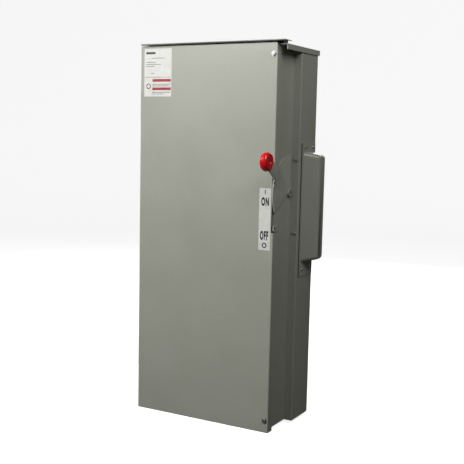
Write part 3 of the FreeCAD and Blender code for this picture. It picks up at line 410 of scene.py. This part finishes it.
def flat_print(name, outlines, finish):
    """Ink areas: flat outlines of (x, z) in millimetres, each a thin raised face with edges."""
    made = bmesh.new()
    for outline in outlines:
        ring = [made.verts.new((x * MM, (LABEL_FACE - PRINT_T) * MM, z * MM)) for x, z in outline]
        face = made.faces.new(ring)
        walls = bmesh.ops.extrude_face_region(made, geom=[face])["geom"]
        for vert in [v for v in walls if isinstance(v, bmesh.types.BMVert)]:
            vert.co.y = (LABEL_FACE + 0.02) * MM
    bmesh.ops.recalc_face_normals(made, faces=made.faces)
    mesh = bpy.data.meshes.new(name)
    made.to_mesh(mesh)
    made.free()
    mesh.materials.append(finish)
    return mesh_piece(name, mesh, "door")


def bar(x0, x1, z0, z1):
    return [(x0, z0), (x1, z0), (x1, z1), (x0, z1)]


def word_outlines(word, x0, x1, z0, z1):
    """A generic word in the built-in face, fitted to the rectangle, as triangles."""
    curve = bpy.data.curves.new(word, "FONT")
    curve.body = word
    curve.offset = 0.055
    curve.space_character = 1.22
    carrier = bpy.data.objects.new(word, curve)
    bpy.context.scene.collection.objects.link(carrier)
    bpy.context.view_layer.update()
    ready = carrier.evaluated_get(bpy.context.evaluated_depsgraph_get())
    mesh = bpy.data.meshes.new_from_object(ready)
    bpy.data.objects.remove(carrier)
    low_x, high_x = min(v.co.x for v in mesh.vertices), max(v.co.x for v in mesh.vertices)
    low_y, high_y = min(v.co.y for v in mesh.vertices), max(v.co.y for v in mesh.vertices)
    spots = [(x0 + (v.co.x - low_x) / (high_x - low_x) * (x1 - x0),
              z0 + (v.co.y - low_y) / (high_y - low_y) * (z1 - z0)) for v in mesh.vertices]
    mesh.calc_loop_triangles()
    return [[spots[i] for i in triangle.vertices] for triangle in mesh.loop_triangles]


def ring_quads(x, z, outer, inner, count=32):
    """A ring of ink as quads."""
    spots = []
    for i in range(count):
        a, b = 2 * math.pi * i / count, 2 * math.pi * (i + 1) / count
        spots.append([(x + r * math.cos(t), z + r * math.sin(t))
                      for r, t in ((inner, a), (outer, a), (outer, b), (inner, b))])
    return spots


NAME_X0, NAME_X1 = -230.3, -132.3
heading = [bar(NAME_X0 + 6, NAME_X0 + 40, 535, 541)]
lines = [bar(NAME_X0 + start, NAME_X0 + start + run, z, z + 1.3)
         for start, run, z in ((27, 46, 522), (6, 36, 510), (6, 54, 504), (6, 30, 498), (24, 13, 477),
                               (30, 64, 445), (30, 58, 440), (30, 62, 421), (30, 40, 416))]
rule = [bar(NAME_X0 + 4, NAME_X1 - 4, 466, 466.9)]
flat_print("nameplate_ruling", heading + lines + rule + ring_quads(NAME_X0 + 16, 440, 8, 5.4), INK_BLACK)
flat_print("nameplate_bands",
           [bar(NAME_X0 + 30, NAME_X1 - 2, 453, 461), bar(NAME_X0 + 30, NAME_X1 - 2, 428, 436)], INK_RED)

LABEL_X0, LABEL_X1 = 171.8, 208.8
on_word = word_outlines("ON", LABEL_X0 + 6.5, LABEL_X1 - 6, 101, 126)
off_word = word_outlines("OFF", LABEL_X0 + 5, LABEL_X1 - 6, 3, 30)
on_mark = [bar(LABEL_X0 + 17.2, LABEL_X0 + 19.8, 135, 147)]
off_mark = ring_quads(LABEL_X0 + 19, -11.5, 7.6, 4.4)
flat_print("on_off_print", on_mark + off_mark, INK_BLACK)


def word_print(name, triangles):
    """A word's own triangles welded into flat open faces, a print's thickness off the label."""
    mesh = bpy.data.meshes.new(name)
    spots = [(x * MM, (LABEL_FACE - PRINT_T) * MM, z * MM) for tri in triangles for x, z in tri]
    mesh.from_pydata(spots, [], [(3 * i, 3 * i + 1, 3 * i + 2) for i in range(len(triangles))])
    made = bmesh.new()
    made.from_mesh(mesh)
    bmesh.ops.remove_doubles(made, verts=made.verts, dist=0.01 * MM)
    for face in made.faces:
        face.normal_update()
        if face.normal.y > 0:
            face.normal_flip()
    made.to_mesh(mesh)
    made.free()
    mesh.materials.append(INK_BLACK)
    return mesh_piece(name, mesh, "door")


word_print("on_word", on_word)
word_print("off_word", off_word)

# ------------------------------------------------------------------ lever and its shaft
# The lever plate is blanked from 3 mm steel, joggled outboard to clear the door and enamelled
# grey. Its hub is staked on a turned, zinc-plated shaft that passes through the case's side.

LEVER_GREY = powder_coat("enamelled_lever_grey", "#9FA195", "#A7A99D", 0.4, 0.5)
finish_node("lever", LEVER_GREY)
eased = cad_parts["lever"].modifiers.new("blanked_edge", "BEVEL")
eased.width = 0.3 * MM
eased.segments = 2
eased.limit_method = "ANGLE"
eased.angle_limit = math.radians(50)
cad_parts["lever"].modifiers.move(2, 1)
for node_name in ("handle_shaft", "crank_pin", "drive_crank"):
    finish_node(node_name, ZINC)

# ------------------------------------------------------------------ red knob
# A round grip injection moulded in red nylon over the arm's end: two domed faces with a moulded
# ring and a sunk centre, fat radii at the rim, and the mould's parting line round the middle.

KNOB_X, KNOB_Y, KNOB_Z = 230.3, -308.02, 228.89
KNOB_PROFILE = [  # radius and distance from the middle plane, centre outwards
    (0, 8.6), (5.0, 8.6), (6.2, 9.0), (6.8, 10.2), (7.6, 10.9), (9.2, 11.2), (13.0, 11.4),
    (15.2, 11.4), (16.0, 11.0), (16.5, 10.3), (17.2, 10.0), (17.9, 10.3), (18.4, 11.0),
    (19.2, 11.3), (20.6, 11.0), (22.4, 10.0), (24.2, 8.2), (25.5, 6.0), (26.2, 3.8),
    (26.55, 1.6), (26.55, 0.55), (26.95, 0.3)]


def knob_red():
    """Glossy moulded nylon. The eye sees a deep saturated red with crisp highlights, very slight
    flow marks, and hair scratches from hands that dull the gloss in patches."""
    material, tree, shader, place = new_finish("moulded_nylon_red")
    flow = patches(tree, place, 22, detail=3)
    tint(tree, shader, spread(tree, flow, 0, 1), "#CE1219", "#DA181D")
    rub = patches(tree, place, 1.6, detail=4, stretch=(1, 0.2, 1))
    tree.links.new(spread(tree, rub, 0.16, 0.3), shader.inputs["Roughness"])
    relief(tree, shader, flow, 0.12)
    shader.inputs["IOR"].default_value = 1.53
    shader.inputs["Coat Weight"].default_value = 0.35
    shader.inputs["Coat Roughness"].default_value = 0.08
    return material


def turned(name, profile, count, centre):
    """A closed solid of revolution about X: one row of the profile on each side of the middle."""
    rows = profile + [(r, -x) for r, x in reversed(profile)]
    made = bmesh.new()
    rings = []
    for r, x in rows:
        if r == 0:
            rings.append([made.verts.new((x * MM, 0, 0))])
            continue
        rings.append([made.verts.new((x * MM, r * MM * math.cos(2 * math.pi * i / count),
                                      r * MM * math.sin(2 * math.pi * i / count)))
                      for i in range(count)])
    for low, high in zip(rings, rings[1:]):
        for i in range(count):
            j = (i + 1) % count
            corners = [low[i % len(low)], low[j % len(low)], high[j % len(high)], high[i % len(high)]]
            made.faces.new(list(dict.fromkeys(corners)))
    bmesh.ops.recalc_face_normals(made, faces=made.faces)
    bmesh.ops.translate(made, verts=made.verts, vec=Vector(centre) * MM)
    mesh = bpy.data.meshes.new(name)
    made.to_mesh(mesh)
    made.free()
    mesh.polygons.foreach_set("use_smooth", [True] * len(mesh.polygons))
    return mesh


grip = turned("red_knob_grip", KNOB_PROFILE, 96, (KNOB_X, KNOB_Y, KNOB_Z))
grip.materials.append(knob_red())
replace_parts(mesh_piece("red_knob_grip", grip, "handle"), "knob")

# ------------------------------------------------------------------ toggle mechanism
# Behind the lever a zinc-plated frame carries a link, a forged crank and a tension spring of
# oiled music wire, which snaps the rotor over. The interlock lever drops into the door's bracket.

for node_name in ("mech_frame", "drive_link", "rotor_crank", "interlock_lever", "rotor_bearing"):
    finish_node(node_name, ZINC)


def spring_wire():
    """Oil-tempered wire. The eye sees dark blue-grey steel with a wet-looking sheen that runs in
    streaks a few millimetres long, where the oil has gathered."""
    material, tree, shader, place = new_finish("oil_tempered_spring_wire")
    oil = patches(tree, place, 5, detail=4)
    tint(tree, shader, spread(tree, oil, 0, 1), "#5A5E63", "#7F8489")
    tree.links.new(spread(tree, oil, 0.2, 0.42), shader.inputs["Roughness"])
    relief(tree, shader, oil, 0.02)
    shader.inputs["Metallic"].default_value = 1.0
    return material


finish_node("toggle_spring", spring_wire())

# ------------------------------------------------------------------ mounting pan and its bolts
# A shallow zinc-plated tray spaces the switch off the back. Six slotted bolts hold it.

finish_node("mounting_pan", ZINC)
PAN_FACE = -14
set_heads("pan_bolt_heads", "pan_bolts",
          [(x, PAN_FACE, z) for x in (-187, 160) for z in (-354, -60, 234)],
          7.5, 5, 1.8, FACE_FRONT, 5, ZINC)

# ------------------------------------------------------------------ moulded bases and rotor
# The insulating bases and the rotor bar are compression moulded in black glass-filled polyester,
# the interphase barriers are sheets of grey vulcanised fibre, and the arc chutes are moulded.


def thermoset(name, dark, light, fibre_mm, rough=0.55):
    """Glass-filled polyester or fibre board. The eye sees a dull, hard face with short pale
    glass flecks (drawn about 1.5 times real length) and a slight mould drag in the sheen."""
    material, tree, shader, place = new_finish(name)
    flecks = patches(tree, place, fibre_mm, detail=5, roughness=0.7, stretch=(1, 1, 0.35))
    tint(tree, shader, spread(tree, flecks, 0, 1, 0.42, 0.68), dark, light)
    drag = patches(tree, place, 40, detail=2)
    tree.links.new(spread(tree, drag, rough - 0.08, rough + 0.1), shader.inputs["Roughness"])
    relief(tree, shader, flecks, 0.04)
    shader.inputs["IOR"].default_value = 1.54
    return material


BLACK_POLYESTER = thermoset("moulded_polyester_black", "#1D1E20", "#303234", 2.2)
GREY_POLYESTER = thermoset("moulded_polyester_grey", "#6F706E", "#8A8B88", 2.2)
FIBRE_GREY = thermoset("vulcanised_fibre_sheet", "#454442", "#5C5B57", 3.5, 0.7)
for node_name in ("line_base", "load_base", "rotor_bar", "neutral_base"):
    finish_node(node_name, BLACK_POLYESTER)
finish_node("phase_barriers", FIBRE_GREY)

# ------------------------------------------------------------------ arc chutes
# Each pole's chute has two moulded cheeks that hold a stack of plain steel splitter plates, cut
# out in the middle for the blade's tip. The plates draw out and cool the arc.

CHUTE_TOP, CHUTE_LOW, CHUTE_FRONT, CHUTE_BACK = 176, 110, -170, -84
PLATE_PITCH, PLATE_T, PLATE_COUNT = 9, 1.6, 7


def block(made, x0, x1, y0, y1, z0, z1):
    """A box in millimetres with its faces outwards."""
    corners = [made.verts.new((x * MM, y * MM, z * MM)) for x in (x0, x1) for y in (y0, y1)
               for z in (z0, z1)]
    for side in ((0, 1, 3, 2), (4, 6, 7, 5), (0, 4, 5, 1), (2, 3, 7, 6), (0, 2, 6, 4), (1, 5, 7, 3)):
        made.faces.new([corners[i] for i in side])


def chute_rule():
    """Splitter plates: one plate repeated along a line at a set pitch, added to the cheeks."""
    tree, given = new_rule("splitter_stack", [
        ("Plate", "NodeSocketObject"), ("Count", "NodeSocketInt"), ("Pitch", "NodeSocketFloat"),
        ("Finish", "NodeSocketMaterial")])
    step = add(tree, "ShaderNodeCombineXYZ", links={"Y": given["Pitch"]})
    line = add(tree, "GeometryNodeMeshLine", None,
               {"Count": given["Count"], "Offset": step.outputs[0]})
    plate = add(tree, "GeometryNodeObjectInfo", None, {"Object": given["Plate"]})
    stack = add(tree, "GeometryNodeInstanceOnPoints", None,
                {"Points": line.outputs[0], "Instance": plate.outputs["Geometry"]})
    plates = end_rule(tree, stack.outputs[0], given["Finish"])
    both = add(tree, "GeometryNodeJoinGeometry")
    tree.links.new(plates, both.inputs[0])
    tree.links.new(given["Geometry"], both.inputs[0])
    out = tree.nodes.new("NodeGroupOutput")
    tree.links.new(both.outputs[0], out.inputs[0])
    return tree


SPLITTERS = chute_rule()
SPLITTER_STEEL = zinc_plate("plain_splitter_steel", "#6E7072", "#8B8D8E", 0.42)
for pole, pole_x in enumerate((-125, -20, 85), start=1):
    one = bmesh.new()
    for x0, x1, z0 in ((-17, -7.5, 113), (7.5, 17, 113), (-7.5, 7.5, 147)):
        block(one, pole_x + x0, pole_x + x1, CHUTE_FRONT + 4, CHUTE_FRONT + 4 + PLATE_T, z0, 173)
    plate_mesh = bpy.data.meshes.new("splitter_plate")
    one.to_mesh(plate_mesh)
    one.free()
    plate_piece = bpy.data.objects.new("splitter_plate", plate_mesh)
    bpy.context.scene.collection.objects.link(plate_piece)
    cheeks = bmesh.new()
    for x0 in (-19, 17):
        block(cheeks, pole_x + x0, pole_x + x0 + 2, CHUTE_FRONT, CHUTE_BACK, CHUTE_LOW, CHUTE_TOP)
    block(cheeks, pole_x - 17, pole_x + 17, CHUTE_FRONT, CHUTE_BACK - 1, CHUTE_TOP - 3, CHUTE_TOP)
    cheek_mesh = bpy.data.meshes.new("chute_cheeks")
    cheeks.to_mesh(cheek_mesh)
    cheeks.free()
    cheek_mesh.materials.append(GREY_POLYESTER)
    chute = run_rule("arc_chute_stack_%d" % pole, SPLITTERS, cheek_mesh, {
        "Plate": plate_piece, "Count": PLATE_COUNT, "Pitch": PLATE_PITCH * MM,
        "Finish": SPLITTER_STEEL})
    bpy.data.objects.remove(plate_piece)
    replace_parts(mesh_piece("arc_chute_stack_%d" % pole, chute, "enclosure"),
                "arc_chute_%d" % pole)

# ------------------------------------------------------------------ blades, jaws and fuse clips
# Hard copper, punched, bent and tin-flashed, so it is silvery with the copper showing warm where
# the plating is thin.


def tinned_copper():
    """Tin flash on copper. The eye sees a pale warm metal with pinkish clouds about 12 mm wide
    and fine rolling lines along the strip."""
    material, tree, shader, place = new_finish("tin_flashed_copper")
    thin = patches(tree, place, 12, detail=4)
    tint(tree, shader, spread(tree, thin, 0, 1), "#B98A72", "#CFC3BA")
    tree.links.new(spread(tree, thin, 0.28, 0.42), shader.inputs["Roughness"])
    rolling = patches(tree, place, 0.9, detail=2, stretch=(1, 1, 0.08))
    relief(tree, shader, rolling, 0.012)
    shader.inputs["Metallic"].default_value = 1.0
    return material


TINNED = tinned_copper()
finish_node("fuse_clips", TINNED)
for pole in (1, 2, 3):
    for kind in ("line_jaw_%d", "load_jaw_%d", "blade_%d"):
        finish_node(kind % pole, TINNED)

# ------------------------------------------------------------------ lugs and terminal bars
# Sawn and drilled aluminium extrusion with zinc-plated set screws.


def sawn_aluminium():
    """Extruded aluminium, sawn to length. The eye sees bright grey metal with extrusion lines
    about 0.6 mm apart along Z and a duller, cloudy oxide."""
    material, tree, shader, place = new_finish("extruded_aluminium")
    oxide = patches(tree, place, 8, detail=3)
    tint(tree, shader, spread(tree, oxide, 0, 1), "#B8BBBD", "#D5D7D8")
    tree.links.new(spread(tree, oxide, 0.3, 0.46), shader.inputs["Roughness"])
    lines = patches(tree, place, 0.6, detail=2, stretch=(1, 1, 0.05))
    relief(tree, shader, lines, 0.015)
    shader.inputs["Metallic"].default_value = 1.0
    return material


ALUMINIUM = sawn_aluminium()
for node_name in ("line_lugs", "load_lugs", "neutral_bar", "ground_bar"):
    finish_node(node_name, ALUMINIUM)
finish_node("lug_screws", ZINC)

# ------------------------------------------------------------------ fuses
# Cartridge fuses: a wound glass-melamine tube between two plated end caps with knife legs, and a
# paper band round the middle with ruled stripes only.

TUBE_LOW, TUBE_HIGH, BAND_LOW, BAND_HIGH = -236, -137, -212, -161


def between(tree, z, low, high):
    """1 where the height lies between the two, in millimetres."""
    above = add(tree, "ShaderNodeMath", {"operation": "GREATER_THAN"}, {0: z})
    above.inputs[1].default_value = low * MM
    below = add(tree, "ShaderNodeMath", {"operation": "LESS_THAN"}, {0: z})
    below.inputs[1].default_value = high * MM
    return add(tree, "ShaderNodeMath", {"operation": "MULTIPLY"},
               {0: above.outputs[0], 1: below.outputs[0]}).outputs[0]


def over(tree, factor, under, hex_colour):
    """A hex colour laid over another colour where the factor is 1."""
    mix = add(tree, "ShaderNodeMix", {"data_type": "RGBA"}, {"Factor": factor})
    tree.links.new(under, mix.inputs[6])
    mix.inputs[7].default_value = linear(hex_colour)
    return mix.outputs[2]


def fuse_finish():
    """The tube's tan winding with threads 2 mm apart, its pale band with two ruled stripes, and
    satin plated caps and legs."""
    material, tree, shader, place = new_finish("cartridge_fuse")
    height = add(tree, "ShaderNodeSeparateXYZ", links={"Vector": place}).outputs["Z"]
    threads = patches(tree, place, 2, detail=2, stretch=(0.15, 0.15, 1))
    plating = tint(tree, shader, spread(tree, patches(tree, place, 10), 0, 1), "#B6A98E", "#D2C8AE")
    tube = between(tree, height, TUBE_LOW, TUBE_HIGH)
    skin = over(tree, tube, plating, "#A9854C")
    skin = over(tree, between(tree, height, BAND_LOW, BAND_HIGH), skin, "#DDD6C2")
    for low in (BAND_LOW + 6, BAND_HIGH - 12):
        skin = over(tree, between(tree, height, low, low + 6), skin, "#2D4A6B")
    tree.links.new(skin, shader.inputs["Base Color"])
    tree.links.new(spread(tree, tube, 1, 0, 0, 1), shader.inputs["Metallic"])
    tree.links.new(spread(tree, tube, 0.34, 0.55, 0, 1), shader.inputs["Roughness"])
    relief(tree, shader, threads, 0.05)
    return material


CARTRIDGE = fuse_finish()
for pole in (1, 2, 3):
    finish_node("fuse_%d" % pole, CARTRIDGE)

# ------------------------------------------------------------------ line shield
# A clear polycarbonate cover keeps fingers off the live line lugs; it is bent hot from 2 mm sheet.


def clear_sheet():
    """Polycarbonate. The eye sees a nearly clear sheet with a faint blue edge and soft waves."""
    material, tree, shader, place = new_finish("clear_polycarbonate")
    waves = patches(tree, place, 60, detail=1)
    tint(tree, shader, spread(tree, waves, 0, 1), "#DDE7EA", "#EDF3F4")
    tree.links.new(spread(tree, waves, 0.04, 0.1), shader.inputs["Roughness"])
    relief(tree, shader, waves, 0.2)
    shader.inputs["IOR"].default_value = 1.58
    shader.inputs["Transmission Weight"].default_value = 1.0
    return material


finish_node("line_shield", clear_sheet())

# ------------------------------------------------------------------ floor, camera and lights
# A pale round floor rolls up into a wall all the way round and gives its own even light. A high
# softbox stands to the left of the object and a weaker one to the right, so its front is brighter
# than its side.

FLOOR_Z = -0.5625
FLOOR_SPAN, SWEEP_R, WALL_TOP, SWEEP_SIDES = 5.0, 2.5, 8.0, 96
sweep = [(FLOOR_SPAN, 0.0)] + [
    (FLOOR_SPAN + SWEEP_R * math.sin(math.radians(a)), SWEEP_R - SWEEP_R * math.cos(math.radians(a)))
    for a in range(6, 91, 6)] + [(FLOOR_SPAN + SWEEP_R, WALL_TOP)]
floor_made = bmesh.new()
hoops = [[floor_made.verts.new((r * math.cos(2 * math.pi * i / SWEEP_SIDES),
                                r * math.sin(2 * math.pi * i / SWEEP_SIDES), FLOOR_Z + z))
          for i in range(SWEEP_SIDES)] for r, z in sweep]
floor_made.faces.new(hoops[0])
for low, high in zip(hoops, hoops[1:]):
    for i in range(SWEEP_SIDES):
        j = (i + 1) % SWEEP_SIDES
        floor_made.faces.new((low[j], low[i], high[i], high[j]))
floor_mesh = bpy.data.meshes.new("floor_sweep")
floor_made.to_mesh(floor_mesh)
floor_made.free()
floor_mesh.polygons.foreach_set("use_smooth", [True] * len(floor_mesh.polygons))
backdrop, tree, shader, place = new_finish("matt_white_paint")
tint(tree, shader, patches(tree, place, 900), "#F2F2F1", "#F4F4F3")
shader.inputs["Roughness"].default_value = 0.9
shader.inputs["Specular IOR Level"].default_value = 0.1
shader.inputs["Emission Color"].default_value = linear("#FFFFFF")
shader.inputs["Emission Strength"].default_value = 0.84
floor_mesh.materials.append(backdrop)
floor = bpy.data.objects.new("floor_sweep", floor_mesh)
bpy.context.scene.collection.objects.link(floor)
floor.visible_diffuse = False
floor.visible_glossy = False

YAW, PITCH, ROLL = 0.508, 0.113, 0.022
back = Vector((math.sin(YAW) * math.cos(PITCH), -math.cos(YAW) * math.cos(PITCH), math.sin(PITCH)))
right = Vector((math.cos(YAW), math.sin(YAW), 0))
up = (-back).cross(right) * -1
tilted_right = math.cos(ROLL) * right + math.sin(ROLL) * up
tilted_up = math.cos(ROLL) * up - math.sin(ROLL) * right
camera = bpy.data.objects.new("camera", bpy.data.cameras.new("camera"))
camera.data.lens = 66.25
camera.data.sensor_width = 36
camera.data.clip_end = 60
turn = Matrix((tilted_right, tilted_up, back)).transposed().to_4x4()
camera.matrix_world = Matrix.Translation((1.28515, -2.38738, 0.29892)) @ turn
bpy.context.scene.collection.objects.link(camera)
bpy.context.scene.camera = camera


def soft_light(name, place, aim, width, height, power):
    """A softbox that faces the point it is aimed at."""
    lamp = bpy.data.lights.new(name, "AREA")
    lamp.shape = "RECTANGLE"
    lamp.size = width
    lamp.size_y = height
    lamp.energy = power
    box = bpy.data.objects.new(name, lamp)
    facing = (Vector(aim) - Vector(place)).to_track_quat("-Z", "Y")
    box.matrix_world = Matrix.Translation(place) @ facing.to_matrix().to_4x4()
    bpy.context.scene.collection.objects.link(box)


soft_light("key_softbox", (-1.0, -2.2, 1.45), (0, -0.23, 0.25), 1.0, 1.0, 61)
soft_light("right_softbox", (1.35, -0.95, 1.5), (0.22, -0.15, 0.5), 1.1, 1.1, 16)
soft_light("back_softbox", (-0.4, 2.6, 1.2), (0, 0, 0), 1.6, 1.6, 26)
soft_light("left_softbox", (-2.6, 0.2, 1.3), (0, -0.1, 0), 1.4, 1.4, 14)
world = bpy.data.worlds.new("studio")
bpy.context.scene.world = world
world.use_nodes = True
world.node_tree.nodes["Background"].inputs["Color"].default_value = linear("#FFFFFF")
world.node_tree.nodes["Background"].inputs["Strength"].default_value = 0.04
bpy.context.scene.view_settings.view_transform = "Standard"
